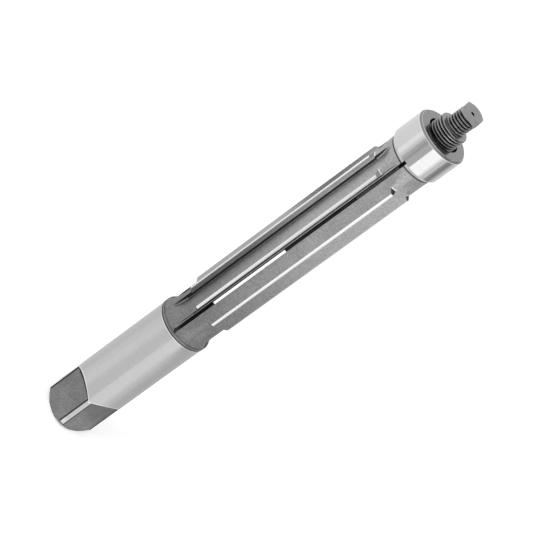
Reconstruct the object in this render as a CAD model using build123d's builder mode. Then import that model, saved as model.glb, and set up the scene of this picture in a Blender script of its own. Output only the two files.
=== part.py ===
# Straight flute expansion hand reamer, with its expansion plug, adjusting screw and lock bush.
# The reamer stands on its square end: +Z runs along the axis to the pilot and the screw.
# Sizes are in millimetres. Angles about Z are counted from -Y, positive towards +X.

import os
from math import asin, cos, degrees, radians, sin, sqrt, tan

from build123d import *

# Cutting diameter, and what the rest of the outside lies below it
nominal_d = 31.75
shank_undersize = 0.35
pilot_undersize = 0.30
neck_depth = 1.80
flute_depth = 3.95

# Lengths along the axis, from the square end to the pilot's face
shank_length = 90.4
band_length = 2.2
shoulder_length = 3.3
shoulder_round = 1.0
rear_neck_length = 14.2
teeth_length = 128.2
front_neck_length = 12.9
pilot_length = 19.7
pilot_rear_chamfer = 2.2
pilot_front_chamfer = 1.3
pilot_front_chamfer_depth = 1.1
starting_taper_length = 32.0
starting_taper_depth = 0.10

# Square drive
square_af = 23.80
square_length = 25.8
square_ramp_angle = 40.0
square_turn = -32.8
square_sides = 4
end_chamfer = 3.5
centre_hole_d = 6.0
centre_drill_d = 2.5
centre_drill_depth = 3.0
centre_cone_half_angle = 30.0

# Teeth and flutes: the flutes overrun the teeth at both ends
tooth_count = 8
land_width = 1.55
margin_width = 0.60
relief_depth = 0.12
flute_root_fillet = 0.7
flute_cutter_r = 28.0
flute_rear_overrun = 14.6
flute_front_overrun = 11.0
flute_turn = -9.3
lift_out_angle = 60.0
cutter_margin = 2.0

# Expansion slots, sawn at the foot of every other tooth
slot_count = 4
slot_width = 1.86
slot_saw_r = 24.0
slot_bottom_r = 3.0
slot_rear_overrun = 16.3
slot_front_overrun = 15.6
slot_turn = -1.4

# Clearances, each measured on the radius or along the axis
running_fit = 0.05
expansion_clearance = 0.18
face_gap = 0.05
screw_bore_clearance = 0.35
spindle_clearance = 0.70
mouth_clearance = 1.22
travel_in = 6.0
travel_room = 4.0

# Bores, from the pilot's face inwards
mouth_depth = 4.0
guide_bore_d = 10.6
seat_small_d = 8.0
seat_half_angle = 1.5
bore_beyond_slots = 4.3
drill_point_angle = 59.0

# Lock bush
lock_thread_d = 17.15
bush_length = 20.7
bush_reach = 8.2
bush_chamfer = 0.3
bush_end_room = 1.5

# Adjusting screw
screw_thread_d = 11.70
screw_thread_length = 40.8
screw_reach = 20.2
nose_length = 8.0
nose_chamfer = 0.5
thread_chamfer = 0.9
head_af = 11.30
head_blank_d = 14.8
head_length = 2.9
head_chamfer_angle = 30.0
head_turn = 3.6
head_centre_d = 1.5
head_centre_depth = 1.2

# Expansion plug, placed by the depth of its front face below the pilot's face
plug_depth = 55.9
plug_length = 49.1
plug_taper_length = 20.0
plug_guide_length = 9.0
plug_waist_depth = 0.93
socket_d = 5.1
socket_depth = 8.5
plug_chamfer = 0.4

# Radii that the sections below share
land_r = nominal_d / 2
shank_r = land_r - shank_undersize / 2
pilot_r = land_r - pilot_undersize / 2
neck_r = land_r - neck_depth
flute_root_r = land_r - flute_depth
screw_r = screw_thread_d / 2
screw_hole_r = screw_r + running_fit
screw_bore_r = screw_r + screw_bore_clearance
guide_bore_r = guide_bore_d / 2
bush_r = lock_thread_d / 2
lock_hole_r = bush_r + running_fit
mouth_r = bush_r + mouth_clearance
seat_small_r = seat_small_d / 2

# Places along the axis, from the square end
shank_end = shank_length
band_end = shank_end + band_length
shoulder_end = band_end + shoulder_length
teeth_start = shoulder_end + rear_neck_length
teeth_end = teeth_start + teeth_length
pilot_start = teeth_end + front_neck_length
body_length = pilot_start + pilot_length
bush_end = body_length + bush_reach
bush_start = bush_end - bush_length
lock_hole_bottom = bush_start - bush_end_room
screw_end = body_length + screw_reach
head_start = screw_end - head_length
screw_thread_start = head_start - screw_thread_length
screw_bore_start = screw_thread_start - travel_in - travel_room
plug_end = body_length - plug_depth
plug_start = plug_end - plug_length
plug_guide_start = plug_end - plug_guide_length
seat_end = plug_guide_start - travel_in - travel_room
seat_start = plug_start - travel_in - travel_room


def turned(angle, height=0.0):
    """A plane across the axis, its x pointing out at the angle and its y towards larger angles."""
    a = radians(angle)
    return Plane(origin=(0, 0, height), x_dir=(sin(a), -cos(a), 0), z_dir=(0, 0, 1))


def lengthwise(angle):
    """A plane along the axis, its x pointing out at the angle and its y along +Z."""
    a = radians(angle)
    return Plane(origin=(0, 0, 0), x_dir=(sin(a), -cos(a), 0), z_dir=(-cos(a), -sin(a), 0))


def run_out(cutter_r, depth):
    """How far a disc cutter sunk to a depth reaches along the surface, beyond its own centre."""
    return sqrt(cutter_r**2 - (cutter_r - depth) ** 2)


# Body, turned outline
tooth_height = land_r - neck_r
lead_start = teeth_end - tooth_height - starting_taper_length
with BuildPart() as reamer_body:
    with BuildSketch(Plane.XZ):
        with BuildLine():
            Polyline(
                (0, 0),
                (shank_r - end_chamfer, 0),
                (shank_r, end_chamfer),
                (shank_r, shank_end),
                (land_r, shank_end),
                (land_r, band_end),
                (neck_r, shoulder_end),
                (neck_r, teeth_start),
                (land_r, teeth_start + tooth_height),
                (land_r, lead_start),
                (land_r - starting_taper_depth, teeth_end - tooth_height + starting_taper_depth),
                (neck_r, teeth_end),
                (neck_r, pilot_start),
                (pilot_r, pilot_start + pilot_rear_chamfer),
                (pilot_r, body_length - pilot_front_chamfer),
                (pilot_r - pilot_front_chamfer_depth, body_length),
                (0, body_length),
                close=True,
            )
        make_face()
        shoulder_edge = vertices().sort_by_distance((land_r, 0, band_end))[0]
        fillet(shoulder_edge, radius=shoulder_round)
    revolve(axis=Axis.Z)

    # Square drive: four flats, each ending in a ramp where the cutter lifts out
    ramp_rise = shank_r
    ramp_length = ramp_rise / tan(radians(square_ramp_angle))
    for side in range(square_sides):
        with BuildSketch(lengthwise(square_turn + 360 / square_sides * side)):
            with BuildLine():
                Polyline(
                    (square_af / 2, -cutter_margin),
                    (square_af / 2, square_length),
                    (square_af / 2 + ramp_rise, square_length + ramp_length),
                    (square_af / 2 + ramp_rise, -cutter_margin),
                    close=True,
                )
            make_face()
        extrude(amount=2 * shank_r, both=True, mode=Mode.SUBTRACT)

    # Centre hole in the square end
    centre_cone_depth = (centre_hole_d - centre_drill_d) / 2 / tan(radians(centre_cone_half_angle))
    with BuildSketch(Plane.XZ):
        with BuildLine():
            Polyline(
                (0, 0),
                (centre_hole_d / 2, 0),
                (centre_drill_d / 2, centre_cone_depth),
                (centre_drill_d / 2, centre_cone_depth + centre_drill_depth),
                (0, centre_cone_depth + centre_drill_depth),
                close=True,
            )
        make_face()
    revolve(axis=Axis.Z, mode=Mode.SUBTRACT)

# Flute cutter: the cut at full depth between the two places where the disc lifts out
pitch_angle = 360 / tooth_count
heel_angle = pitch_angle - 2 * degrees(asin(land_width / 2 / land_r))
margin_angle = pitch_angle - 2 * degrees(asin(margin_width / 2 / land_r))
neck_run_out = run_out(flute_cutter_r, neck_r - flute_root_r)
flute_start = teeth_start - flute_rear_overrun + neck_run_out
flute_end = teeth_end + flute_front_overrun - neck_run_out
cutter_axis_r = flute_root_r + flute_cutter_r


def polar(r, angle):
    """A point of a section across the axis, by its radius and its angle in degrees."""
    return (r * cos(radians(angle)), r * sin(radians(angle)))


def flute_section(height):
    """The flute across the axis: radial cutting face, rounded root, flat back and the land's relief."""
    outside_r = land_r + cutter_margin
    with BuildSketch(turned(flute_turn, height)) as section:
        with BuildLine():
            Polyline(
                (outside_r, 0),
                (flute_root_r, 0),
                polar(land_r - relief_depth, heel_angle),
                polar(land_r, margin_angle),
                polar(outside_r, margin_angle),
                close=True,
            )
        make_face()
        root = section.vertices().sort_by(lambda v: v.center().length)[0]
        fillet(root, radius=flute_root_fillet)
    return section.sketch


flute_across = turned(flute_turn).y_dir
flute_out = turned(flute_turn).x_dir
with BuildPart() as flute_cutter:
    extrude(flute_section(flute_start), amount=flute_end - flute_start, dir=(0, 0, 1))
    rear_axis = Axis(flute_out * cutter_axis_r + Vector(0, 0, flute_start), flute_across * -1)
    revolve(flute_section(flute_start), axis=rear_axis, revolution_arc=lift_out_angle)
    front_axis = Axis(flute_out * cutter_axis_r + Vector(0, 0, flute_end), flute_across)
    revolve(flute_section(flute_end), axis=front_axis, revolution_arc=lift_out_angle)

# Slot cutter: the saw's disc at both ends of its way, and the strip between them
slot_saw_axis_r = slot_bottom_r + slot_saw_r
rear_reach = run_out(slot_saw_r, land_r - slot_bottom_r)
front_reach = run_out(slot_saw_r, pilot_r - slot_bottom_r)
slot_start = teeth_start - slot_rear_overrun + rear_reach
slot_end = teeth_end + slot_front_overrun - front_reach
with BuildPart() as slot_cutter:
    with BuildSketch(lengthwise(slot_turn)):
        with Locations((slot_saw_axis_r, slot_start), (slot_saw_axis_r, slot_end)):
            Circle(slot_saw_r)
        with Locations((slot_saw_axis_r, (slot_start + slot_end) / 2)):
            Rectangle(2 * slot_saw_r, slot_end - slot_start)
    extrude(amount=slot_width / 2, both=True)

# Body, milled and bored
seat_front_r = seat_small_r + (seat_end - seat_start) * tan(radians(seat_half_angle))
bore_start = slot_start - bore_beyond_slots
drill_point = seat_small_r / tan(radians(drill_point_angle))
with reamer_body:
    with PolarLocations(0, tooth_count):
        add(flute_cutter.part, mode=Mode.SUBTRACT)
    with PolarLocations(0, slot_count):
        add(slot_cutter.part, mode=Mode.SUBTRACT)
    with BuildSketch(Plane.XZ):
        with BuildLine():
            Polyline(
                (0, body_length + cutter_margin),
                (mouth_r, body_length + cutter_margin),
                (mouth_r, body_length - mouth_depth),
                (lock_hole_r, body_length - mouth_depth),
                (lock_hole_r, lock_hole_bottom),
                (screw_bore_r, lock_hole_bottom),
                (screw_bore_r, screw_bore_start),
                (guide_bore_r, screw_bore_start),
                (guide_bore_r, seat_end),
                (seat_front_r, seat_end),
                (seat_small_r, seat_start),
                (seat_small_r, bore_start),
                (0, bore_start - drill_point),
                close=True,
            )
        make_face()
    revolve(axis=Axis.Z, mode=Mode.SUBTRACT)
reamer_body.part.label = "reamer_body"

# Expansion plug: a taper that opens the slots, and a guide that runs in the bore
seat_r_at_plug = seat_small_r + (plug_start - seat_start) * tan(radians(seat_half_angle))
plug_small_r = seat_r_at_plug - expansion_clearance
plug_large_r = plug_small_r + plug_taper_length * tan(radians(seat_half_angle))
plug_waist_r = plug_large_r - plug_waist_depth
plug_guide_r = guide_bore_r - running_fit
with BuildPart() as expansion_plug:
    with BuildSketch(Plane.XZ):
        with BuildLine():
            Polyline(
                (0, plug_start),
                (plug_small_r - plug_chamfer, plug_start),
                (plug_small_r, plug_start + plug_chamfer),
                (plug_large_r, plug_start + plug_taper_length),
                (plug_waist_r, plug_start + plug_taper_length + plug_waist_depth),
                (plug_waist_r, plug_guide_start - plug_waist_depth),
                (plug_guide_r, plug_guide_start),
                (plug_guide_r, plug_end - plug_chamfer),
                (plug_guide_r - plug_chamfer, plug_end),
                (socket_d / 2, plug_end),
                (socket_d / 2, plug_end - socket_depth),
                (0, plug_end - socket_depth),
                close=True,
            )
        make_face()
    revolve(axis=Axis.Z)
expansion_plug.part.label = "expansion_plug"

# Adjusting screw: nose in the plug's socket, spindle, thread and square head
nose_r = socket_d / 2 - running_fit
spindle_r = guide_bore_r - spindle_clearance
spindle_start = plug_end + face_gap
with BuildPart() as adjusting_screw:
    with BuildSketch(Plane.XZ):
        with BuildLine():
            Polyline(
                (0, spindle_start - nose_length),
                (nose_r - nose_chamfer, spindle_start - nose_length),
                (nose_r, spindle_start - nose_length + nose_chamfer),
                (nose_r, spindle_start),
                (spindle_r, spindle_start),
                (spindle_r, screw_thread_start - thread_chamfer),
                (screw_r, screw_thread_start),
                (screw_r, head_start),
                (0, head_start),
                close=True,
            )
        make_face()
    revolve(axis=Axis.Z)

    # Square head, turned to its blank before the flats are milled
    head_slope = (head_blank_d - head_af) / 2 * tan(radians(head_chamfer_angle))
    with BuildSketch(turned(head_turn, head_start)):
        Rectangle(head_af, head_af)
    extrude(amount=head_length)
    with BuildSketch(Plane.XZ):
        with BuildLine():
            Polyline(
                (head_af / 2, screw_end),
                (head_blank_d / 2, screw_end - head_slope),
                (head_blank_d / 2, head_start - cutter_margin),
                (head_blank_d, head_start - cutter_margin),
                (head_blank_d, screw_end),
                close=True,
            )
        make_face()
    revolve(axis=Axis.Z, mode=Mode.SUBTRACT)
    with BuildSketch(Plane.XZ):
        with BuildLine():
            Polyline(
                (0, screw_end),
                (head_centre_d / 2, screw_end),
                (0, screw_end - head_centre_depth),
                close=True,
            )
        make_face()
    revolve(axis=Axis.Z, mode=Mode.SUBTRACT)
adjusting_screw.part.label = "adjusting_screw"

# Lock bush: threaded outside into the pilot, with the screw running through it
with BuildPart() as lock_bush:
    with BuildSketch(Plane.XZ):
        with BuildLine():
            Polyline(
                (screw_hole_r, bush_start),
                (bush_r - bush_chamfer, bush_start),
                (bush_r, bush_start + bush_chamfer),
                (bush_r, bush_end - bush_chamfer),
                (bush_r - bush_chamfer, bush_end),
                (screw_hole_r, bush_end),
                close=True,
            )
        make_face()
    revolve(axis=Axis.Z)
lock_bush.part.label = "lock_bush"

os.makedirs("parts", exist_ok=True)
export_step(reamer_body.part, "parts/reamer_body.step")
export_step(expansion_plug.part, "parts/expansion_plug.step")
export_step(adjusting_screw.part, "parts/adjusting_screw.step")
export_step(lock_bush.part, "parts/lock_bush.step")
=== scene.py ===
# Expansion hand reamer: finishes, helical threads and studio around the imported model.
# Lengths are in metres. Angles about Z are counted from -Y, the camera's side, positive towards +X.

from math import cos, floor, hypot, pi, radians, sin, tan

import bmesh
import bpy
from bpy.props import FloatProperty, FloatVectorProperty, IntProperty, PointerProperty
from mathutils import Matrix, Vector


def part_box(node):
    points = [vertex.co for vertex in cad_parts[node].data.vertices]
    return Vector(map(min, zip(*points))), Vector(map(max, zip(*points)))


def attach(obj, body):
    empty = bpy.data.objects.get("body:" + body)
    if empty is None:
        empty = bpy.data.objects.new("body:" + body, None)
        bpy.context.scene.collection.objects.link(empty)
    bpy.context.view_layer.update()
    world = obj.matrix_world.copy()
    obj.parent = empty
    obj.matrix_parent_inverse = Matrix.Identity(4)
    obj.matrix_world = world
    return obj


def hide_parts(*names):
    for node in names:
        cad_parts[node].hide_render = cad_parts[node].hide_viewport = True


bl_info = {
    "name": "Expansion Reamer",
    "version": (1, 0, 0),
    "blender": (4, 5, 0),
    "location": "View3D > Sidebar > Reamer",
    "description": "Steel finishes, threads and a studio for an expansion hand reamer",
    "category": "Object",
}

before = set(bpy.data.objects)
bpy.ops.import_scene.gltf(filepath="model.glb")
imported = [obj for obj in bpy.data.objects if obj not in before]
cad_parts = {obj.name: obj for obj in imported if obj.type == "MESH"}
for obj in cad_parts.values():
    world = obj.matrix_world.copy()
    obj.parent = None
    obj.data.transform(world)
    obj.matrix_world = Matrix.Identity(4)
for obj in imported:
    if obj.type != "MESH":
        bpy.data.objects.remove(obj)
MM = 0.001

BODY_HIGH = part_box("reamer_body")[1]
SCREW_LOW, SCREW_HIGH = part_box("adjusting_screw")
BUSH_LOW, BUSH_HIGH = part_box("lock_bush")
PLUG_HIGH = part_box("expansion_plug")[1]
LAND_R = BODY_HIGH.x
PILOT_FACE = BODY_HIGH.z
FLUTE_ROOT_R = 11.8 * MM
NECK_R = 14.1 * MM
BUSH_R = BUSH_HIGH.x
SHANK_R = LAND_R - 0.175 * MM

# Width of a thread's crest, and of the screw's near its head
CREST_WIDTH = 0.35 * MM
FRONT_CREST_WIDTH = 0.22 * MM
# How far the screw's plain collar reaches back into the bush and out of it, from the bush's front
STOP_BACK = 1.2 * MM
STOP_OUT = 0.4 * MM
# Heights between which painted light and shade change the steel's tone: the cutting faces are painted
# brighter towards the front, the hardened steel lighter away from the shank, and a little darker again at the
# front neck
FACE_PAINTED_LIGHT_RISE = (150 * MM, 220 * MM)
LENGTHWISE_PAINTED_LIGHT = (108 * MM, 185 * MM)
NECK_FADE = (232 * MM, 246 * MM)
# Distances outwards from a ramp of the square between which the painted highlight along it starts and ends
RAMP_LINE_START = (-0.42 * MM, -0.26 * MM)
RAMP_LINE_END = (0.03 * MM, 0.08 * MM)


def linear(hex_code):
    """An sRGB hex colour as the linear values that Blender takes."""
    values = [int(hex_code[i:i + 2], 16) / 255 for i in (1, 3, 5)]
    return [v / 12.92 if v <= 0.04045 else ((v + 0.055) / 1.055) ** 2.4 for v in values] + [1.0]


def length(name, description, millimetres):
    """A length property, with its default in millimetres."""
    return FloatProperty(
        name=name, description=description, default=millimetres * MM, unit="LENGTH", precision=5
    )


def angle(name, description, degrees):
    """An angle property, with its default in degrees."""
    return FloatProperty(name=name, description=description, default=radians(degrees), subtype="ANGLE")


def colour(name, description, hex_code):
    """A colour property, with its default as sRGB hex."""
    return FloatVectorProperty(
        name=name, description=description, default=linear(hex_code), size=4, subtype="COLOR", min=0, max=1
    )


class ReamerBodySettings(bpy.types.PropertyGroup):
    """Sizes and colours of the fluted body."""

    square_width: length("Square's width", "Width across the square's flats", 23.80)
    square_turn: angle("Square's turn", "Angle of the square's first flat", -32.8)
    ramp_start: length("Ramp's start", "Where the square's flats turn into ramps", 25.8)
    ramp_slope: angle("Ramp's slope", "Slope of the ramps to the axis", 40.0)
    square_reach: length("Square's reach", "How far the square's flats and ramps reach", 31.0)
    shank_end: length("Shank's end", "Where the ground shank meets the dark band", 90.4)
    band_end: length("Band's end", "Where the dark band meets the shoulder", 92.6)
    teeth_start: length("Start of the teeth", "Where the teeth rise from the rear neck", 110.1)
    teeth_end: length("End of the teeth", "Where the teeth meet the front neck", 238.3)
    pilot_start: length("Start of the pilot", "Where the front neck meets the pilot", 251.2)
    slot_width: length("Slot width", "Width of the sawn slots", 1.86)
    slot_turn: angle("Slot turn", "Angle of the first sawn slot", -1.4)
    face_foot: length("Cutting face's foot", "Distance from the axis at which the ground face ends", 13.35)
    ground: colour("Ground steel", "Shank and pilot, cylindrically ground", "#CFCFCF")
    # Painted highlight: the lands' near-white colour, lighter than the same ground steel of shank and pilot
    land: colour("Ground land", "Lands of the teeth, ground last", "#FAFAFA")
    cutting_face: colour("Cutting face", "Faces of the teeth, ground for the edge", "#BCBCBC")
    # Painted light: the cutting faces' colour at the front, brighter than the faces further back
    cutting_front_painted_light: colour("Cutting face's front", "The same faces at the front, honed most", "#F8F8F8")
    # Painted shade: black at the cutting faces' foot and where the flutes run out into the necks
    scale: colour("Hardening scale", "Foot of the cutting faces, never ground", "#3A3A3A")
    hardened: colour("Hardened steel", "Flutes, necks and band, left dark from hardening", "#A2A2A2")
    # Painted shade: the slots' walls, the pilot's mouth and the bore are darkened to show the shade inside
    # them
    slot_shade: colour("Sawn steel", "Walls of the slots", "#484848")
    square: colour("Square's flats", "Flats of the square drive", "#848484")
    # Painted shade: black along the flats' edges, reaching further in on the ramps
    square_border_shade: colour("Square's borders", "Scale along the borders of the flats", "#202020")
    border_shade_width: length("Border's width", "Width of the scale along the borders, measured outwards", 0.55)
    ramp_shade_width: length("Ramp's border", "How much further in the scale reaches on the ramps", 2.00)
    face: colour("Turned face", "Front face and front chamfer of the pilot", "#9A9A9A")
    pilot_edge: length("Pilot's edge", "Width of the polished edges of the pilot's front chamfer", 0.22)
    # Painted lines round the body: painted shade in black in its corners, and one painted highlight at the
    # teeth's end
    painted_line_width: length("Scale line", "Width of the black lines of scale left in the body's corners", 0.75)


class ScrewSettings(bpy.types.PropertyGroup):
    """Sizes and colours of the adjusting screw and the lock bush."""

    pitch: length("Pitch", "Thread pitch of the screw and the bush", 1.75)
    thread_depth: length("Thread depth", "Depth of the thread from crest to root", 0.85)
    screw_radius: length("Screw radius", "Radius over the screw's thread in the body", 5.85)
    front_radius: length("Front radius", "Radius over the screw's thread near its head", 6.20)
    front_depth: length("Front thread depth", "Depth of the thread near the head", 1.20)
    front_turns: IntProperty(
        name="Front turns", description="Whole turns of the thread near the head", default=8
    )
    thread_length: length("Thread length", "Length of the screw's thread below its head", 40.8)
    spindle_radius: length("Spindle radius", "Radius of the plain spindle", 4.6)
    nose_radius: length("Nose radius", "Radius of the nose that turns in the plug", 2.5)
    head_length: length("Head length", "Length of the squared head", 2.9)
    head_width: length("Head width", "Width across the flats of the head and of the thread near it", 11.3)
    head_blank: length("Head blank", "Diameter of the round that the head is cut from", 14.8)
    head_chamfer: angle("Head chamfer", "Slope of the head's turned chamfer", 30.0)
    head_turn: angle("Head turn", "Angle of the head's first flat", 3.6)
    flats_turn: angle("Flats' turn", "Angle of the first flat along the thread", -7.0)
    centre_radius: length("Centre radius", "Radius of the centre hole in the head", 1.1)
    centre_depth: length("Centre depth", "Depth of the centre hole below its countersink", 1.8)
    sink_radius: length("Countersink's radius", "Radius of the shallow countersink in the head", 4.4)
    sink_depth: length("Countersink's depth", "Depth of the shallow countersink in the head", 1.25)
    bush_bore: length("Bush bore", "Radius of the bush's bore", 6.25)
    collar_length: length("Collar length", "Plain collar at the bush's front, past the last thread", 0.7)
    collar_chamfer: length("Collar chamfer", "Chamfer of the bush's front edge", 0.35)
    bush_setback: length("Bush setback", "How far the bush's turned front stays behind its CAD solid", 0.8)
    thread_steps: IntProperty(
        name="Steps in a turn", description="Sections in one turn of a thread", default=64
    )
    crest: colour("Thread crest", "Turned steel at the crest of the bush's thread", "#C4C4C4")
    screw_crest: colour("Screw's thread crest", "Turned steel at the crest of the screw's thread", "#ACACAC")
    # Painted shade: near black at the thread's root, where the groove lies in shade
    root: colour("Thread root", "Oily steel at the thread's root", "#141414")
    head: colour("Screw head", "Turned steel of the squared head", "#A6A6A6")
    spindle: colour("Spindle", "Turned steel of the plain spindle", "#8A8A8A")
    # Painted shade: the plug's turned steel is darkened, as it lies in shade inside the body
    plug: colour("Plug", "Turned steel of the expansion plug", "#545456")


class StudioSettings(bpy.types.PropertyGroup):
    """The camera, the paper and the room's light."""

    camera_distance: length("Camera distance", "Distance from the camera to the point it looks at", 1308.4)
    camera_azimuth: angle("Camera azimuth", "Camera's place round the reamer", -0.05)
    camera_elevation: angle("Camera elevation", "Camera's height as an angle", 29.3)
    camera_roll: angle("Camera roll", "Turn of the camera about its line of sight", 53.86)
    look_x: length("Look-at X", "Point that the camera looks at", 0.69)
    look_z: length("Look-at height", "Point that the camera looks at", 149.85)
    lens: FloatProperty(name="Lens", description="Focal length in millimetres", default=176.09)
    paper: colour("Paper", "White paper of the floor", "#F2F2F2")
    paper_lift: FloatProperty(
        name="Paper lift", description="Light added to the paper as it is seen", default=0.35
    )
    world_strength: FloatProperty(
        name="World light", description="Strength of the white surroundings", default=0.80
    )


def add_node(owner, kind, inputs=(), output=0, **settings):
    """Adds a node with its settings, and gives one of its outputs where it has any.

    Its inputs come by name or number, or in order from the first. Each is set to a value, or linked where it
    is given a socket.
    """
    tree = owner.node_tree
    node = tree.nodes.new(kind)
    for name, value in settings.items():
        setattr(node, name, value)
    for name, value in inputs.items() if isinstance(inputs, dict) else enumerate(inputs):
        if isinstance(value, bpy.types.NodeSocket):
            tree.links.new(value, node.inputs[name])
        else:
            node.inputs[name].default_value = value
    return node.outputs[output] if node.outputs else None


def new_material(name):
    """An empty node material."""
    material = bpy.data.materials.new(name)
    material.use_nodes = True
    material.node_tree.nodes.clear()
    return material


def streaks(material, spacing, seed):
    """Noise from 0 to 1 on object coordinates, its grain spacing given in metres along X, Y and Z."""
    place = add_node(material, "ShaderNodeTexCoord", output="Object")
    scale = [1 / s for s in spacing]
    scaled = add_node(
        material, "ShaderNodeMapping", {"Vector": place, "Scale": scale, "Location": (seed, seed, seed)}
    )
    return add_node(material, "ShaderNodeTexNoise", {"Vector": scaled, "Scale": 1.0, "Detail": 3.0})


def radius_from_axis(material):
    """Distance from the reamer's axis, in metres."""
    place = add_node(material, "ShaderNodeTexCoord", output="Object")
    flat = add_node(material, "ShaderNodeVectorMath", (place, (1, 1, 0)), operation="MULTIPLY")
    return add_node(material, "ShaderNodeVectorMath", (flat,), "Value", operation="LENGTH")


def height_above_floor(material):
    """Height along the reamer's axis, in metres."""
    place = add_node(material, "ShaderNodeTexCoord", output="Object")
    return add_node(material, "ShaderNodeSeparateXYZ", (place,), "Z")


def beyond_ramp(material, width, start, slope, turn):
    """Distance outwards from the nearest of the square's four ramps: negative inside the steel."""
    place = add_node(material, "ShaderNodeTexCoord", output="Object")
    squared = add_node(material, "ShaderNodeMapping", {"Vector": place, "Rotation": (0, 0, -turn)})
    x, y, z = [add_node(material, "ShaderNodeSeparateXYZ", (squared,), axis) for axis in "XYZ"]
    across = [add_node(material, "ShaderNodeMath", (side,), operation="ABSOLUTE") for side in (x, y)]
    flat = add_node(material, "ShaderNodeMath", across, operation="MAXIMUM")
    out = add_node(material, "ShaderNodeMath", (flat, width / 2), operation="SUBTRACT")
    out = add_node(material, "ShaderNodeMath", (out, cos(slope)), operation="MULTIPLY")
    along = add_node(material, "ShaderNodeMath", (z, start), operation="SUBTRACT")
    along = add_node(material, "ShaderNodeMath", (along, sin(slope)), operation="MULTIPLY")
    return add_node(material, "ShaderNodeMath", (out, along), operation="SUBTRACT")


def scaled_colour(base, factor):
    """A colour made darker or lighter by a factor."""
    return [min(1.0, c * factor) for c in base[:3]] + [1.0]


def varied(material, base, value, darkest, lightest):
    """The base colour, from darkest to lightest times itself as a value goes from 0 to 1."""
    ends = {0: value, 6: scaled_colour(base, darkest), 7: scaled_colour(base, lightest)}
    return add_node(material, "ShaderNodeMix", ends, 2, data_type="RGBA")


def painted_crease_shade(material, tone, reach, darkest):
    """Painted shade: the colour darkened where walls stand close, as shade falls in a crease."""
    near = add_node(
        material, "ShaderNodeAmbientOcclusion", {"Distance": reach}, "AO", samples=8, only_local=True
    )
    open_part = add_node(material, "ShaderNodeMapRange", (near, 0.15, 0.85, darkest, 1.0))
    return add_node(
        material, "ShaderNodeMix", {0: 1.0, 6: tone, 7: open_part}, 2, data_type="RGBA", blend_type="MULTIPLY"
    )


def steel(material, base, roughness, relief, relief_depth, metallic=1.0):
    """Ends a steel material: metal with its colour, its roughness and its fine relief."""
    bump = {"Height": relief, "Distance": relief_depth, "Strength": 1.0}
    normal = add_node(material, "ShaderNodeBump", bump)
    look = {"Base Color": base, "Metallic": metallic, "Roughness": roughness, "Normal": normal}
    shader = add_node(material, "ShaderNodeBsdfPrincipled", look)
    add_node(material, "ShaderNodeOutputMaterial", {"Surface": shader})
    return material


def ground_steel(name, base, roughest, edge_highlight, edge_height, edge_width, ramp=None):
    """Tool steel ground between centres: bright, with fine rings that the wheel left round the axis.

    The rings lie 0.02 mm apart on the real part. Here they are 0.3 mm, so that they show. Up to the edge's
    height, the last of the surface has a painted highlight, and so has a line along the square's ramps.
    """
    material = new_material(name)
    rings = streaks(material, (12 * MM, 12 * MM, 0.3 * MM), 1.7)
    cloud = streaks(material, (9 * MM, 9 * MM, 14 * MM), 5.1)
    height = height_above_floor(material)
    # Painted highlight near the edge's height and along the square's ramps
    edge_reach = (height, edge_height - edge_width * 1.2, edge_height - edge_width * 0.8)
    painted_highlight_mask = add_node(material, "ShaderNodeMapRange", edge_reach)
    if ramp is not None:
        beyond = beyond_ramp(material, *ramp)
        inside = add_node(material, "ShaderNodeMapRange", (beyond, *RAMP_LINE_START))
        outside = add_node(material, "ShaderNodeMapRange", (beyond, *RAMP_LINE_END, 1.0, 0.0))
        line = add_node(material, "ShaderNodeMath", (inside, outside), operation="MULTIPLY")
        painted_highlight_mask = add_node(material, "ShaderNodeMath", (painted_highlight_mask, line), operation="MAXIMUM")
    tones = {0: painted_highlight_mask, 6: varied(material, base, rings, 0.92, 1.06), 7: scaled_colour(base, edge_highlight)}
    tone = add_node(material, "ShaderNodeMix", tones, 2, data_type="RGBA")
    roughness = add_node(material, "ShaderNodeMapRange", (cloud, 0.3, 0.7, roughest - 0.06, roughest))
    return steel(material, tone, roughness, rings, 0.0006 * MM)


def land_steel_painted_highlight(base):
    """The lands, ground last along their length: near white as a painted highlight, lighter than the same
    ground steel elsewhere, with fine lengthwise lines.

    The lines lie 0.05 mm apart on the real part and 0.25 mm here, so that they show.
    """
    material = new_material("land_steel_painted_highlight")
    lines = streaks(material, (0.25 * MM, 0.25 * MM, 15 * MM), 3.3)
    return steel(material, varied(material, base, lines, 0.93, 1.05), 0.38, lines, 0.002 * MM)


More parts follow.
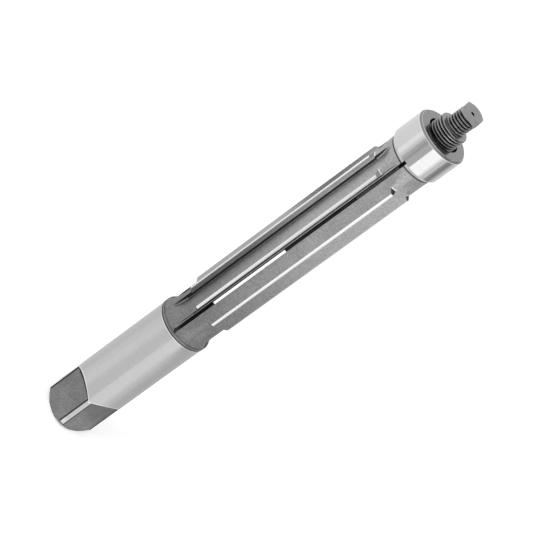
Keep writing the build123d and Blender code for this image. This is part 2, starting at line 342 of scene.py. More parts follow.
def cutting_face_steel(base, front_painted_light, scale, foot_r, teeth_start, teeth_end):
    """Cutting faces of the teeth: ground bright down to their foot, painted shade in black below it and in
    the necks.

    They are painted brighter towards the front, and near the foot there they are less metallic, so that the
    room's white light shows on them: painted light. The wheel's lines run lengthwise, 0.05 mm apart on the
    real part and 0.3 mm here.
    """
    material = new_material("ground_cutting_face_steel")
    lines = streaks(material, (0.3 * MM, 0.3 * MM, 20 * MM), 6.4)
    radius = radius_from_axis(material)
    height = height_above_floor(material)
    # Painted light: the faces are brighter towards the front
    forward = add_node(material, "ShaderNodeMapRange", (height, *FACE_PAINTED_LIGHT_RISE))
    ground = varied(material, base, lines, 0.90, 1.08)
    bright = add_node(material, "ShaderNodeMix", {0: forward, 6: ground, 7: front_painted_light}, 2, data_type="RGBA")
    # Painted shade: black below the foot and past the teeth's ends
    above_foot = add_node(material, "ShaderNodeMapRange", (radius, foot_r - 0.1 * MM, foot_r + 0.1 * MM))
    past_start = add_node(material, "ShaderNodeMapRange", (height, teeth_start, teeth_start + 0.4 * MM))
    before_end = add_node(material, "ShaderNodeMapRange", (height, teeth_end - 0.4 * MM, teeth_end, 1.0, 0.0))
    along = add_node(material, "ShaderNodeMath", (past_start, before_end), operation="MULTIPLY")
    outside_root_shade = add_node(material, "ShaderNodeMath", (along, above_foot), operation="MULTIPLY")
    tone = add_node(material, "ShaderNodeMix", {0: outside_root_shade, 6: scale, 7: bright}, 2, data_type="RGBA")
    roughness = add_node(material, "ShaderNodeMapRange", (outside_root_shade, 0.0, 1.0, 0.55, 0.16))
    # Painted light: near the foot at the front, the face is less metallic, so the room's white light shows on
    # it
    foot_reach = (radius, foot_r + 0.3 * MM, foot_r + 0.9 * MM, 1.0, 0.0)
    near_foot = add_node(material, "ShaderNodeMapRange", foot_reach)
    foot_painted_light = add_node(material, "ShaderNodeMath", (near_foot, forward), operation="MULTIPLY")
    metallic = add_node(material, "ShaderNodeMapRange", (foot_painted_light, 0.0, 1.0, 1.0, 0.75))
    return steel(material, tone, roughness, lines, 0.002 * MM, metallic)


def hardened_steel(name, base, crease_reach, crease_shade_tone, painted_lines=(), painted_line_width=1 * MM):
    """Milled steel left dark from the hardening salts: satin, with a fine grain and faint clouds.

    The grain is about 0.1 mm on the real part and is drawn at 0.8 mm, so that it shows. The tone is painted
    darker near the shank and lighter towards the front, and painted shade darkens every crease. Each painted
    line is a height, the tint of a line round the body there, and the least radius at which it shows.
    """
    material = new_material(name)
    grain = streaks(material, (0.8 * MM, 0.8 * MM, 1.1 * MM), 2.2)
    cloud = streaks(material, (5 * MM, 5 * MM, 12 * MM), 7.9)
    steep_grain = add_node(material, "ShaderNodeMapRange", (grain, 0.35, 0.65))
    steep_cloud = add_node(material, "ShaderNodeMapRange", (cloud, 0.35, 0.65))
    fine = varied(material, base, steep_grain, 0.70, 1.30)
    wide = varied(material, base, steep_cloud, 0.90, 1.10)
    mottled = add_node(material, "ShaderNodeMix", {0: 0.5, 6: fine, 7: wide}, 2, data_type="RGBA")
    height = height_above_floor(material)
    radius = radius_from_axis(material)
    # Painted light and shade along the length: darker near the shank, lighter towards the front, a little
    # darker at the front neck
    rear = add_node(material, "ShaderNodeMapRange", (height, *LENGTHWISE_PAINTED_LIGHT, 0.77, 1.31))
    front = add_node(material, "ShaderNodeMapRange", (height, *NECK_FADE, 0.99, 0.93))
    along = add_node(material, "ShaderNodeMath", (rear, front), operation="MULTIPLY")
    # Each line darkens the tone as painted shade, or lightens it as a painted highlight
    for place, tint, least_r in painted_lines:
        distance = add_node(material, "ShaderNodeMath", (height, place), operation="SUBTRACT")
        distance = add_node(material, "ShaderNodeMath", (distance,), operation="ABSOLUTE")
        width = (distance, painted_line_width * 0.3, painted_line_width * 0.7, 1.0, 0.0)
        in_line = add_node(material, "ShaderNodeMapRange", width)
        outer = add_node(material, "ShaderNodeMapRange", (radius, least_r - 0.03 * MM, least_r))
        line = add_node(material, "ShaderNodeMath", (in_line, outer), operation="MULTIPLY")
        tinted = add_node(material, "ShaderNodeMapRange", (line, 0.0, 1.0, 1.0, tint))
        along = add_node(material, "ShaderNodeMath", (along, tinted), operation="MULTIPLY")
    painted_lengthwise = add_node(
        material, "ShaderNodeMix", {0: 1.0, 6: mottled, 7: along}, 2, data_type="RGBA", blend_type="MULTIPLY"
    )
    # Painted shade in the creases
    tone = painted_crease_shade(material, painted_lengthwise, crease_reach, crease_shade_tone)
    roughness = add_node(material, "ShaderNodeMapRange", (cloud, 0.3, 0.7, 0.42, 0.50))
    return steel(material, tone, roughness, grain, 0.006 * MM)


def square_steel(base, rim, shank_r, border_shade_width, ramp_start, ramp_shade_width):
    """Milled flats, dark and even, with painted shade in black where they meet the round of the shank.

    The painted shade reaches further in on the ramps. The grain is finer on the real part, and is drawn at
    0.9 mm so that it shows.
    """
    material = new_material("milled_square_steel")
    grain = streaks(material, (0.9 * MM, 0.9 * MM, 0.9 * MM), 8.8)
    cloud = streaks(material, (4 * MM, 4 * MM, 5 * MM), 3.9)
    speckle = add_node(material, "ShaderNodeMapRange", (grain, 0.35, 0.65, 0.82, 1.18))
    patch = add_node(material, "ShaderNodeMapRange", (cloud, 0.35, 0.65, 0.92, 1.08))
    both = add_node(material, "ShaderNodeMath", (speckle, patch), operation="MULTIPLY")
    tone = add_node(
        material, "ShaderNodeMix", {0: 1.0, 6: base, 7: both}, 2, data_type="RGBA", blend_type="MULTIPLY"
    )
    ramp_reach = (height_above_floor(material), ramp_start, ramp_start + 0.2 * MM, 0.0, ramp_shade_width)
    on_ramp = add_node(material, "ShaderNodeMapRange", ramp_reach)
    reach = add_node(material, "ShaderNodeMath", (radius_from_axis(material), on_ramp), operation="ADD")
    # Painted shade along the flats' edges
    rim_reach = (reach, shank_r - border_shade_width * 1.2, shank_r - border_shade_width * 0.8)
    border = add_node(material, "ShaderNodeMapRange", rim_reach)
    edged = add_node(material, "ShaderNodeMix", {0: border, 6: tone, 7: rim}, 2, data_type="RGBA")
    return steel(material, edged, 0.48, grain, 0.006 * MM)


def turned_steel(name, base, roughness):
    """A face turned on the lathe: grey, with fine rings about the axis, 0.2 mm apart."""
    material = new_material(name)
    spacing = {"W": radius_from_axis(material), "Scale": 1 / (0.2 * MM), "Detail": 2.0}
    rings = add_node(material, "ShaderNodeTexNoise", spacing, noise_dimensions="1D")
    return steel(material, varied(material, base, rings, 0.88, 1.10), roughness, rings, 0.002 * MM)


def threaded_steel(name, root, crest, root_r, crest_r):
    """Thread cut in plain steel: painted shade in its grooves, near black at the root, and the steel's colour
    on its crests.
    """
    material = new_material(name)
    height = add_node(material, "ShaderNodeMapRange", (radius_from_axis(material), root_r, crest_r))
    grain = streaks(material, (0.8 * MM, 0.8 * MM, 0.25 * MM), 4.4)
    tone = add_node(material, "ShaderNodeMix", {0: height, 6: root, 7: crest}, 2, data_type="RGBA")
    wear = {0: grain, 6: tone, 7: linear("#D8D8D8")}
    worn = add_node(material, "ShaderNodeMix", wear, 2, data_type="RGBA", blend_type="MULTIPLY")
    # Painted shade in the creases of the thread
    shaded_grooves = painted_crease_shade(material, worn, 0.8 * MM, 0.25)
    roughness = add_node(material, "ShaderNodeMapRange", (height, 0.0, 1.0, 0.55, 0.34))
    return steel(material, shaded_grooves, roughness, grain, 0.004 * MM)


def turned(direction, r, z=0.0):
    """A point at an angle about the axis, a radius and a height."""
    return Vector((r * sin(direction), -r * cos(direction), z))


def new_object(name, bm, materials=()):
    """An object in the scene, made from a bmesh, which it uses up."""
    mesh = bpy.data.meshes.new(name)
    bm.to_mesh(mesh)
    bm.free()
    for material in materials:
        mesh.materials.append(material)
    made = bpy.data.objects.new(name, mesh)
    bpy.context.scene.collection.objects.link(made)
    return made


def finish_piece(name, bm, materials, body, slot, *nodes):
    """Makes the piece's object from a bmesh, shades it, hangs it under its body's empty and hides the
    CAD nodes that it replaces.

    An edge is sharp where its faces meet at an angle, and where one finish ends and another starts.
    """
    bm.edges.index_update()
    borders = [e.index for e in bm.edges if len({f.material_index for f in e.link_faces}) > 1]
    piece = new_object(name, bm, materials)
    mesh = piece.data
    mesh.polygons.foreach_set("use_smooth", [True] * len(mesh.polygons))
    mesh.set_sharp_from_angle(angle=radians(24))
    for index in borders:
        mesh.edges[index].use_edge_sharp = True
    normals = piece.modifiers.new("weighted_normals", "WEIGHTED_NORMAL")
    normals.keep_sharp = True
    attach(piece, body)
    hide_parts(*nodes)
    return piece


def joined_copy(node):
    """A bmesh of a CAD node's shape, with its loose triangles joined into whole faces."""
    bm = bmesh.new()
    bm.from_mesh(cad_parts[node].data)
    bmesh.ops.remove_doubles(bm, verts=bm.verts, dist=0.001 * MM)
    bmesh.ops.dissolve_limit(bm, angle_limit=radians(0.3), verts=bm.verts, edges=bm.edges)
    bmesh.ops.dissolve_degenerate(bm, dist=0.004 * MM, edges=bm.edges)
    return bm


def bevel(bm, edges, width):
    """Rounds edges over by a width, and gives the new faces."""
    made = bmesh.ops.bevel(
        bm,
        geom=edges,
        offset=width,
        offset_type="OFFSET",
        affect="EDGES",
        segments=2,
        profile=0.5,
        material=-1,
        clamp_overlap=False,
    )
    return made["faces"]


# The body's finishes, in the order of its materials
HARDENED, SHANK, PILOT, LAND, CUTTING, SLOT_SHADE, SQUARE, TURNED, CHAMFER = range(9)


def body_finish(face, settings, slots):
    """The finish of one face of the body, told by where it lies and which way it faces."""
    centre = face.calc_center_median()
    r = hypot(centre.x, centre.y)
    out = centre.xy.normalized()
    outward = face.normal.xy.dot(out)
    onward = face.normal.xy.dot(Vector((-out.y, out.x)))
    slanted = abs(face.normal.z) > 0.3
    outside = r > LAND_R - 0.5 * MM and outward > 0.97
    on_teeth = settings.teeth_start < centre.z < settings.teeth_end
    near_ends = min(abs(centre.z - settings.teeth_end), abs(centre.z - settings.teeth_start)) < 3 * MM
    on_slot_wall = any(
        abs(face.normal.dot(slot)) > 0.999
        and abs(abs(centre.dot(slot)) - settings.slot_width / 2) < 0.02 * MM
        for slot in slots
    )
    in_slot = any(abs(centre.dot(slot)) < settings.slot_width / 2 - 0.1 * MM for slot in slots)
    if centre.z < settings.square_reach and not outside:
        return SQUARE
    if centre.z < settings.shank_end and outside:
        return SHANK
    if on_teeth and outside:
        return LAND
    if near_ends and slanted and r > NECK_R:
        return TURNED
    if centre.z > settings.pilot_start and outward > 0.6 and r > NECK_R:
        if not slanted:
            return PILOT
        # The pilot's rear chamfer takes the lands' near-white colour: a painted highlight
        return CHAMFER if face.normal.z > 0 else LAND
    if face.normal.z > 0.99 and centre.z > PILOT_FACE - 0.01 * MM:
        return TURNED
    # Painted shade: the mouth, the slot walls, the slots' run-outs and the bore take the dark slot colour
    in_mouth = outward < -0.9 and centre.z > PILOT_FACE - 5 * MM
    at_run_out = in_slot and slanted and outward > 0.3
    in_bore = settings.band_end < centre.z < settings.teeth_start and r < 8 * MM
    if in_mouth or on_slot_wall or at_run_out or in_bore:
        return SLOT_SHADE
    if on_teeth and onward > 0.5 and r > FLUTE_ROOT_R:
        return CUTTING
    return HARDENED


class REAMER_OT_body(bpy.types.Operator):
    """Dress the fluted body: ground shank, lands, faces and pilot, dark flutes, necks and square"""

    bl_idname = "reamer.body"
    bl_label = "Reamer body"

    def execute(self, context):
        settings = context.scene.reamer_body
        bm = joined_copy("reamer_body")
        slots = [turned(settings.slot_turn + pi / 2 * (k + 1), 1) for k in range(2)]
        for face in bm.faces:
            face.material_index = body_finish(face, settings, slots)
        edges = [e for e in bm.edges if {f.material_index for f in e.link_faces} == {PILOT, CHAMFER}]
        for edge_face in bevel(bm, edges, settings.pilot_edge):
            edge_face.material_index = PILOT
        ramp = (settings.square_width, settings.ramp_start, settings.ramp_slope, settings.square_turn)
        crease = 2.5 * MM
        half_line = settings.painted_line_width / 2
        # Painted lines: a height, a tint and the least radius. Tints below 1 are painted shade in the body's
        # corners, the tint of 2.0 at the teeth's end a painted highlight
        painted_lines = (
            (settings.shank_end + half_line, 0.15, 0.0),
            (settings.band_end, 0.55, 0.0),
            (settings.teeth_end + half_line, 2.0, NECK_R - 0.06 * MM),
            (settings.pilot_start - half_line, 0.15, 0.0),
        )
        materials = [
            hardened_steel(
                "hardened_tool_steel", settings.hardened, crease, 0.30, painted_lines, settings.painted_line_width
            ),
            ground_steel(
                "ground_shank_steel", settings.ground, 0.24, 1.55, settings.shank_end, 0.5 * MM, ramp
            ),
            ground_steel("ground_pilot_steel", settings.ground, 0.12, 1.22, PILOT_FACE, 1.6 * MM),
            land_steel_painted_highlight(settings.land),
            cutting_face_steel(
                settings.cutting_face,
                settings.cutting_front_painted_light,
                settings.scale,
                settings.face_foot,
                settings.teeth_start,
                settings.teeth_end,
            ),
            hardened_steel("slot_painted_shade_steel", settings.slot_shade, crease, 0.20),
            square_steel(
                settings.square,
                settings.square_border_shade,
                SHANK_R,
                settings.border_shade_width,
                settings.ramp_start,
                settings.ramp_shade_width,
            ),
            turned_steel("turned_face_steel", settings.face, 0.20),
            ground_steel("pilot_chamfer_steel", settings.face, 0.42, 1.60, PILOT_FACE, 0.45 * MM),
        ]
        finish_piece("fluted_body", bm, materials, "reamer", "ground_tool_steel", "reamer_body")
        return {"FINISHED"}


class REAMER_OT_plug(bpy.types.Operator):
    """Dress the expansion plug, which shows through the slots"""

    bl_idname = "reamer.plug"
    bl_label = "Expansion plug"

    def execute(self, context):
        bm = joined_copy("expansion_plug")
        # Painted shade: the plug is darker than the other turned steel
        materials = [turned_steel("plug_turned_steel_painted_shade", context.scene.reamer_screw.plug, 0.42)]
        finish_piece("taper_plug", bm, materials, "plug", "plug_steel", "expansion_plug")
        return {"FINISHED"}


def thread_profile(low, high, crest_r, depth, crest_width, pitch, groove):
    """Points (r, z) of a 60 degree thread's outline, in whole pitches from below low to above high.

    One of its grooves starts at the height groove, so that two threads can follow each other.
    """
    flank = depth * tan(radians(30))
    root_width = pitch - crest_width - 2 * flank
    root_r = crest_r - depth
    first = groove + (floor((low - groove) / pitch + 1e-6) - 1) * pitch
    turns = int((high - first) / pitch) + 2
    points = []
    for turn in range(turns):
        z = first + turn * pitch
        points += [
            (root_r, z),
            (root_r, z + root_width),
            (crest_r, z + root_width + flank),
            (crest_r, z + root_width + flank + crest_width),
        ]
    points.append((root_r, first + turns * pitch))
    return points


def threaded_rod(low, high, crest_r, depth, crest_width, pitch, groove, steps):
    """A closed rod with a right-hand thread: the outline climbs one pitch in one turn and meets itself."""
    bm = bmesh.new()
    profile = thread_profile(low, high, crest_r, depth, crest_width, pitch, groove)
    verts = [bm.verts.new((r, 0, z)) for r, z in profile]
    edges = [bm.edges.new(pair) for pair in zip(verts, verts[1:])]
    bmesh.ops.spin(
        bm,
        geom=verts + edges,
        cent=(0, 0, 0),
        axis=(0, 0, 1),
        dvec=(0, 0, pitch / steps),
        angle=2 * pi,
        steps=steps,
        use_merge=False,
        use_duplicate=False,
    )
    bmesh.ops.remove_doubles(bm, verts=bm.verts, dist=0.002 * MM)
    for z, side in ((low, -1), (high, 1)):
        everything = bm.verts[:] + bm.edges[:] + bm.faces[:]
        bmesh.ops.bisect_plane(
            bm, geom=everything, plane_co=(0, 0, z), plane_no=(0, 0, side), clear_outer=True
        )
    bmesh.ops.holes_fill(bm, edges=[e for e in bm.edges if e.is_boundary])
    bmesh.ops.recalc_face_normals(bm, faces=bm.faces)
    return bm


def chamfer_thread(bm, end, direction, end_r):
    """Turns the thread's end down to a cone of 45 degrees: no point stays outside it."""
    for vert in bm.verts:
        limit = end_r + max(0.0, (end - vert.co.z) * direction)
        r = hypot(vert.co.x, vert.co.y)
        if r > limit:
            vert.co.x *= limit / r
            vert.co.y *= limit / r


def cut_square(bm, width, direction):
    """Mills four flats on a closed shape, a width apart, the first at an angle about the axis."""
    for side in range(4):
        outwards = turned(direction + side * pi / 2, 1)
        cut = bmesh.ops.bisect_plane(
            bm,
            geom=bm.verts[:] + bm.edges[:] + bm.faces[:],
            plane_co=outwards * width / 2,
            plane_no=outwards,
            clear_outer=True,
        )
        bmesh.ops.holes_fill(bm, edges=[e for e in cut["geom_cut"] if isinstance(e, bmesh.types.BMEdge)])
    bmesh.ops.recalc_face_normals(bm, faces=bm.faces)


def turned_solid(outline, steps):
    """A closed solid turned from an outline of (r, z) points that starts and ends on the axis."""
    bm = bmesh.new()
    verts = [bm.verts.new((r, 0, z)) for r, z in outline]
    edges = [bm.edges.new(pair) for pair in zip(verts, verts[1:])]
    bmesh.ops.spin(
        bm, geom=verts + edges, cent=(0, 0, 0), axis=(0, 0, 1), angle=2 * pi, steps=steps, use_merge=True
    )
    bmesh.ops.remove_doubles(bm, verts=bm.verts, dist=0.002 * MM)
    bmesh.ops.recalc_face_normals(bm, faces=bm.faces)
    return bm


def combine(bm, other, operation):
    """The two closed shapes united, or the first less the second, as one clean bmesh."""
    first, second = [new_object("part_of_piece", shape) for shape in (bm, other)]
    modifier = first.modifiers.new("combine", "BOOLEAN")
    modifier.operation = operation
    modifier.solver = "EXACT"
    modifier.object = second
    graph = bpy.context.evaluated_depsgraph_get()
    result = bmesh.new()
    result.from_mesh(first.evaluated_get(graph).to_mesh())
    for item in (first, second):
        bpy.data.objects.remove(item)
    bmesh.ops.remove_doubles(result, verts=result.verts, dist=0.001 * MM)
    return result


def screw_outline(settings, core_r, thread_start, head_start):
    """The screw turned without its thread, as points (r, z): nose, spindle, core, head and centre hole."""
    top = SCREW_HIGH.z
    nose_start = SCREW_LOW.z
    nose_r = settings.nose_radius
    spindle_start = PLUG_HIGH.z + 0.05 * MM
    spindle_r = settings.spindle_radius
    corner_drop = (settings.head_blank - settings.head_width) / 2 * tan(settings.head_chamfer)
    sink_floor = top - settings.sink_depth
    return [
        (0, nose_start),
        (nose_r - 0.5 * MM, nose_start),
        (nose_r, nose_start + 0.5 * MM),
        (nose_r, spindle_start),
        (spindle_r - 0.3 * MM, spindle_start),
        (spindle_r, spindle_start + 0.3 * MM),
        (spindle_r, thread_start - 0.5 * MM),
        (core_r, thread_start + 0.5 * MM),
        (core_r, head_start),
        (settings.head_blank / 2, head_start),
        (settings.head_blank / 2, top - corner_drop),
        (settings.head_width / 2, top),
        (settings.sink_radius, top),
        (settings.centre_radius, sink_floor),
        (settings.centre_radius * 0.8, sink_floor - settings.centre_depth),
        (0, sink_floor - settings.centre_depth),
    ]


class REAMER_OT_screw(bpy.types.Operator):
    """Cut the adjusting screw: helical thread, flats, squared head, spindle and nose"""

    bl_idname = "reamer.screw"
    bl_label = "Adjusting screw"

    def execute(self, context):
        settings = context.scene.reamer_screw
        pitch, steps = settings.pitch, settings.thread_steps
        root_r = settings.screw_radius - settings.thread_depth
        head_start = SCREW_HIGH.z - settings.head_length
        thread_start = head_start - settings.thread_length
        turns_behind = int(settings.thread_length / pitch) - settings.front_turns
        front_start = thread_start + turns_behind * pitch
        flats_start = BUSH_HIGH.z - settings.bush_setback

        bm = turned_solid(screw_outline(settings, root_r - 0.05 * MM, thread_start, head_start), steps)
        cut_square(bm, settings.head_width, settings.head_turn)
        rear = (settings.screw_radius, settings.thread_depth, CREST_WIDTH, pitch, thread_start, steps)
        thread = threaded_rod(thread_start, front_start, *rear)
        chamfer_thread(thread, thread_start, -1, root_r)
        bm = combine(bm, thread, "UNION")
        front = (settings.front_radius, settings.front_depth, FRONT_CREST_WIDTH, pitch, front_start, steps)
        bm = combine(bm, threaded_rod(front_start, flats_start, *front), "UNION")
        thread = threaded_rod(flats_start, head_start, *front)
        cut_square(thread, settings.head_width, settings.flats_turn)
        bm = combine(bm, thread, "UNION")

        # A plain collar where the flats start, so that the thread doesn't break off at the bush's bore
        stop_r = settings.front_radius - 0.05 * MM
        stop_start = flats_start - STOP_BACK
        stop_end = flats_start + STOP_OUT
        stop = [
            (0, stop_start),
            (stop_r - 0.3 * MM, stop_start),
            (stop_r, stop_start + 0.3 * MM),
            (stop_r, stop_end),
            (0, stop_end),
        ]
        bm = combine(bm, turned_solid(stop, steps), "UNION")

        thread_kind, head_kind, spindle_kind = range(3)
        for face in bm.faces:
            z = face.calc_center_median().z
            on_thread = thread_start - MM < z < head_start + 0.01 * MM
            at_stop = face.normal.z > 0.99 and abs(z - stop_end) < 0.01 * MM
            in_centre = z > head_start and all(
                hypot(v.co.x, v.co.y) < settings.centre_radius * 1.01 for v in face.verts
            )
            if (on_thread and not at_stop) or in_centre:
                face.material_index = thread_kind
            else:
                face.material_index = head_kind if z > head_start or at_stop else spindle_kind
        flat_r = settings.head_width / 2
        reach = (flat_r - 0.22 * MM, flat_r - 0.02 * MM)
        materials = [
            threaded_steel("screw_thread_steel", settings.root, settings.screw_crest, *reach),
            turned_steel("screw_turned_steel", settings.head, 0.36),
            turned_steel("screw_spindle_steel", settings.spindle, 0.45),
        ]
        finish_piece("threaded_screw", bm, materials, "screw", "screw_steel", "adjusting_screw")
        return {"FINISHED"}


class REAMER_OT_bush(bpy.types.Operator):
    """Cut the lock bush: helical thread outside, bore inside, chamfered at both ends"""

    bl_idname = "reamer.bush"
    bl_label = "Lock bush"

    def execute(self, context):
        settings = context.scene.reamer_screw
        low, high = BUSH_LOW.z, BUSH_HIGH.z - settings.bush_setback
        root_r = BUSH_R - settings.thread_depth
        steps = settings.thread_steps
        wall = 0.1 * MM
        collar = [
            (0, high - settings.collar_length),
            (BUSH_R - settings.collar_length, high - settings.collar_length),
            (BUSH_R - 0.05 * MM, high - settings.collar_chamfer - wall),
            (BUSH_R - 0.05 * MM, high - settings.collar_chamfer),
            (BUSH_R - settings.collar_chamfer, high),
            (0, high),
        ]
        # The thread ends halfway up the collar's wall: in the plane of its front, the union would not close
        end = high - settings.collar_chamfer - wall / 2
        bm = threaded_rod(low, end, BUSH_R, settings.thread_depth, CREST_WIDTH, settings.pitch, low, steps)
        chamfer_thread(bm, low, -1, root_r)
        bm = combine(bm, turned_solid(collar, steps), "UNION")
        bore_r = settings.bush_bore
        bore = [(0, low - MM), (bore_r, low - MM), (bore_r, high + MM), (0, high + MM)]
        bm = combine(bm, turned_solid(bore, steps), "DIFFERENCE")
        thread_kind, face_kind = range(2)
        for face in bm.faces:
            z = face.calc_center_median().z
            at_front = z > high - settings.collar_chamfer and face.normal.z > 0.5
            face.material_index = face_kind if at_front else thread_kind
        materials = [
            threaded_steel("bush_thread_steel", settings.root, settings.crest, root_r, BUSH_R),
            turned_steel("bush_turned_steel", settings.head, 0.36),
        ]
        finish_piece("threaded_bush", bm, materials, "lock", "bush_steel", "lock_bush")
        return {"FINISHED"}


def looked_at(owner, *kinds):
    """1 for a ray of one of these kinds, by which the eye sees a thing, and 0 for plain light."""
    seen, *others = [add_node(owner, "ShaderNodeLightPath", output=f"Is {kind} Ray") for kind in kinds]
    for ray in others:
        seen = add_node(owner, "ShaderNodeMath", (seen, ray), operation="MAXIMUM")
    return seen


def floor_material(paper, lift):
    """A white paper floor that takes the reamer's shadow, and looks white to the camera and in the metal."""
    material = new_material("white_paper_floor")
    sheet = add_node(material, "ShaderNodeBsdfDiffuse", {"Color": paper})
    seen = looked_at(material, "Camera", "Glossy", "Transmission")
    level = add_node(material, "ShaderNodeMath", (seen, lift), operation="MULTIPLY")
    glow = add_node(material, "ShaderNodeEmission", {"Strength": level})
    both = add_node(material, "ShaderNodeAddShader", (sheet, glow))
    add_node(material, "ShaderNodeOutputMaterial", {"Surface": both})
    return material


def white_room(strength):
    """A world that lights the reamer with a strength, and looks white to the camera and in the metal."""
    world = bpy.data.worlds.new("white_room")
    world.use_nodes = True
    world.node_tree.nodes.clear()
    seen = looked_at(world, "Camera", "Glossy")
    level = add_node(world, "ShaderNodeMapRange", (seen, 0.0, 1.0, strength, 1.0))
    sky = add_node(world, "ShaderNodeBackground", {"Strength": level})
    add_node(world, "ShaderNodeOutputWorld", {"Surface": sky})
    return world


def stand_card(name, bm, level):
    """Puts a card in the studio at a plain grey level, where 1 is white. Only the metal sees it."""
    material = new_material(name)
    glow = add_node(material, "ShaderNodeEmission", {"Strength": level})
    add_node(material, "ShaderNodeOutputMaterial", {"Surface": glow})
    card = new_object(name, bm, [material])
    card.visible_camera = False
    card.visible_diffuse = False
    card.visible_shadow = False
    card.visible_transmission = False


def floor_card(name, start, end, inner, outer, level):
    """A piece of card just over the floor, between two azimuths in degrees and two radii."""
    bm = bmesh.new()
    verts = [bm.verts.new(turned(radians(start), r, 1 * MM)) for r in (inner, outer)]
    edge = bm.edges.new(verts)
    sweep = radians(end - start)
    bmesh.ops.spin(
        bm, geom=verts + [edge], cent=(0, 0, 0), axis=(0, 0, 1), angle=sweep, steps=12, use_merge=False
    )
    stand_card(name, bm, level)


def flag(name, azimuth, elevation, distance, size, level):
    """A dark square card that hangs at an azimuth and a height, and faces the reamer's upper half."""
    bm = bmesh.new()
    bmesh.ops.create_grid(bm, x_segments=1, y_segments=1, size=size / 2)
    out = turned(radians(azimuth), cos(radians(elevation)), sin(radians(elevation)))
    facing = out.to_track_quat("Z", "Y").to_matrix().to_4x4()
    place = Matrix.Translation(out * distance + Vector((0, 0, 0.2))) @ facing
    bmesh.ops.transform(bm, matrix=place, verts=bm.verts)
    stand_card(name, bm, level)


# Cards on the floor, as a photographer lays them out for polished metal. The camera looks down, so the
# lower a place on the reamer is, the nearer it mirrors the floor: the shank shows the first ring, the
# teeth the next two and the pilot the last. Each ring is a name, its radii in millimetres, and its cards
# from azimuth -180 on: the azimuth in degrees where a card ends, and its level.
CARD_RINGS = (
    ("shank", 25, 157, (
        (-86, 0.76), (-62, 0.84), (-36, 0.90), (-26, 0.84), (16, 0.78), (54, 0.96), (66, 0.86), (80, 0.76),
        (96, 0.66), (180, 0.60),
    )),
    ("teeth", 157, 342, (
        (-84, 0.75), (-28, 0.85), (16, 0.80), (62, 1.00), (90, 0.45), (114, 0.60), (180, 0.70),
    )),
    ("far_teeth", 342, 500, (
        (-84, 0.90), (-29, 1.10), (-8, 0.10), (16, 0.80), (62, 1.20), (90, 0.90), (114, 0.60), (180, 0.80),
    )),
    ("pilot", 500, 1500, (
        (-60, 1.00), (-42, 1.16), (-35, 1.00), (-27, 0.84), (-18, 0.60), (-6, 0.50), (18, 0.62), (63, 1.50),
        (72, 1.15), (90, 0.82), (98, 0.42), (116, 0.32), (128, 0.55), (180, 0.80),
    )),
)

# Dark cards that hang in the air and shade the metal: name, azimuth and elevation in degrees, distance and
# size in metres, and level.
FLAGS = (
    ("high_flag", 90, 49, 1.2, 0.7, 0.10),
    ("side_flag", 132, 20, 1.2, 0.45, 0.10),
)

# Soft square lamps: name, place and size in metres, and power in watts.
LAMPS = (
    ("key_lamp", (-0.9, -1.0, 1.3), 0.9, 12),
    ("fill_lamp", (1.2, -0.5, 1.0), 0.9, 6),
)


def area_lamp(name, place, size, power):
    """A soft square lamp that points at the reamer's middle. The metal mirrors the cards and not the lamp."""
    light = bpy.data.lights.new(name, "AREA")
    light.size = size
    light.energy = power
    lamp = bpy.data.objects.new(name, light)
    lamp.location = place
    middle = Vector((0, 0, 0.15))
    lamp.rotation_euler = (middle - Vector(place)).to_track_quat("-Z", "Y").to_euler()
    lamp.visible_glossy = False
    bpy.context.scene.collection.objects.link(lamp)


def place_camera(settings):
    """The camera at the photograph's angle."""
    camera_data = bpy.data.cameras.new("camera")
    camera_data.sensor_width = 36
    camera_data.lens = settings.lens
    camera_data.clip_start = 0.05
    camera_data.clip_end = 50
    camera = bpy.data.objects.new("camera", camera_data)
    look_at = Vector((settings.look_x, 0, settings.look_z))
    level_reach = settings.camera_distance * cos(settings.camera_elevation)
    climb = settings.camera_distance * sin(settings.camera_elevation)
    away = turned(settings.camera_azimuth, level_reach, climb)
    sight = (-away).to_track_quat("-Z", "Y").to_matrix().to_4x4()
    roll = Matrix.Rotation(settings.camera_roll, 4, "Z")
    camera.matrix_world = Matrix.Translation(look_at + away) @ sight @ roll
    bpy.context.scene.collection.objects.link(camera)
    bpy.context.scene.camera = camera


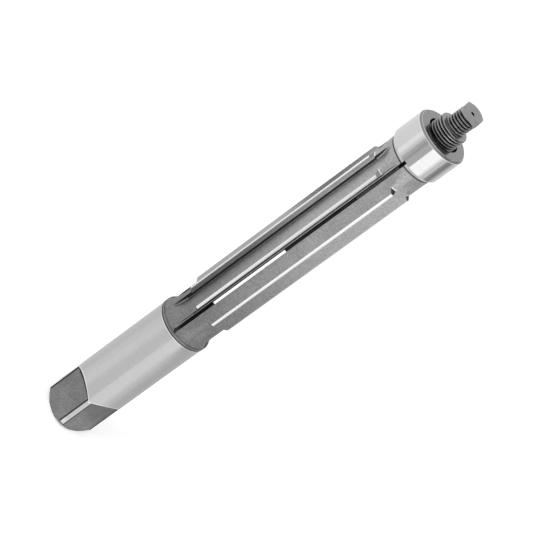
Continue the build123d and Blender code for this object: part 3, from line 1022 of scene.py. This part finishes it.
class REAMER_OT_studio(bpy.types.Operator):
    """Set up the white floor, the lamps, the cards and the camera"""

    bl_idname = "reamer.studio"
    bl_label = "Studio"

    def execute(self, context):
        settings = context.scene.reamer_studio
        bm = bmesh.new()
        bmesh.ops.create_grid(bm, x_segments=1, y_segments=1, size=6.0)
        floor = new_object("floor", bm, [floor_material(settings.paper, settings.paper_lift)])
        for values in FLAGS:
            flag(*values)
        for ring, inner, outer, cards in CARD_RINGS:
            start = -180
            for number, (end, level) in enumerate(cards, 1):
                floor_card(f"{ring}_card_{number}", start, end, inner * MM, outer * MM, level)
                start = end
        for values in LAMPS:
            area_lamp(*values)
        context.scene.world = white_room(settings.world_strength)
        place_camera(settings)
        context.scene.view_settings.view_transform = "Standard"
        return {"FINISHED"}


class REAMER_PT_panel(bpy.types.Panel):
    """The reamer's operators and settings"""

    bl_label = "Expansion Reamer"
    bl_idname = "REAMER_PT_panel"
    bl_space_type = "VIEW_3D"
    bl_region_type = "UI"
    bl_category = "Reamer"

    def draw(self, context):
        for operator in OPERATORS:
            self.layout.operator(operator.bl_idname)
        for group in (context.scene.reamer_body, context.scene.reamer_screw, context.scene.reamer_studio):
            box = self.layout.box()
            for name in group.bl_rna.properties.keys():
                if name not in {"rna_type", "name"}:
                    box.prop(group, name)


OPERATORS = (REAMER_OT_body, REAMER_OT_plug, REAMER_OT_screw, REAMER_OT_bush, REAMER_OT_studio)
CLASSES = (ReamerBodySettings, ScrewSettings, StudioSettings, *OPERATORS, REAMER_PT_panel)


def register():
    """Registers the classes and their settings."""
    for cls in CLASSES:
        bpy.utils.register_class(cls)
    bpy.types.Scene.reamer_body = PointerProperty(type=ReamerBodySettings)
    bpy.types.Scene.reamer_screw = PointerProperty(type=ScrewSettings)
    bpy.types.Scene.reamer_studio = PointerProperty(type=StudioSettings)


def unregister():
    """Takes the settings and the classes away again."""
    del bpy.types.Scene.reamer_studio
    del bpy.types.Scene.reamer_screw
    del bpy.types.Scene.reamer_body
    for cls in reversed(CLASSES):
        bpy.utils.unregister_class(cls)


def main():
    """Makes every piece and the studio."""
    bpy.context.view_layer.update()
    register()
    bpy.ops.reamer.body()
    bpy.ops.reamer.plug()
    bpy.ops.reamer.screw()
    bpy.ops.reamer.bush()
    bpy.ops.reamer.studio()


if __name__ == "__main__":
    main()
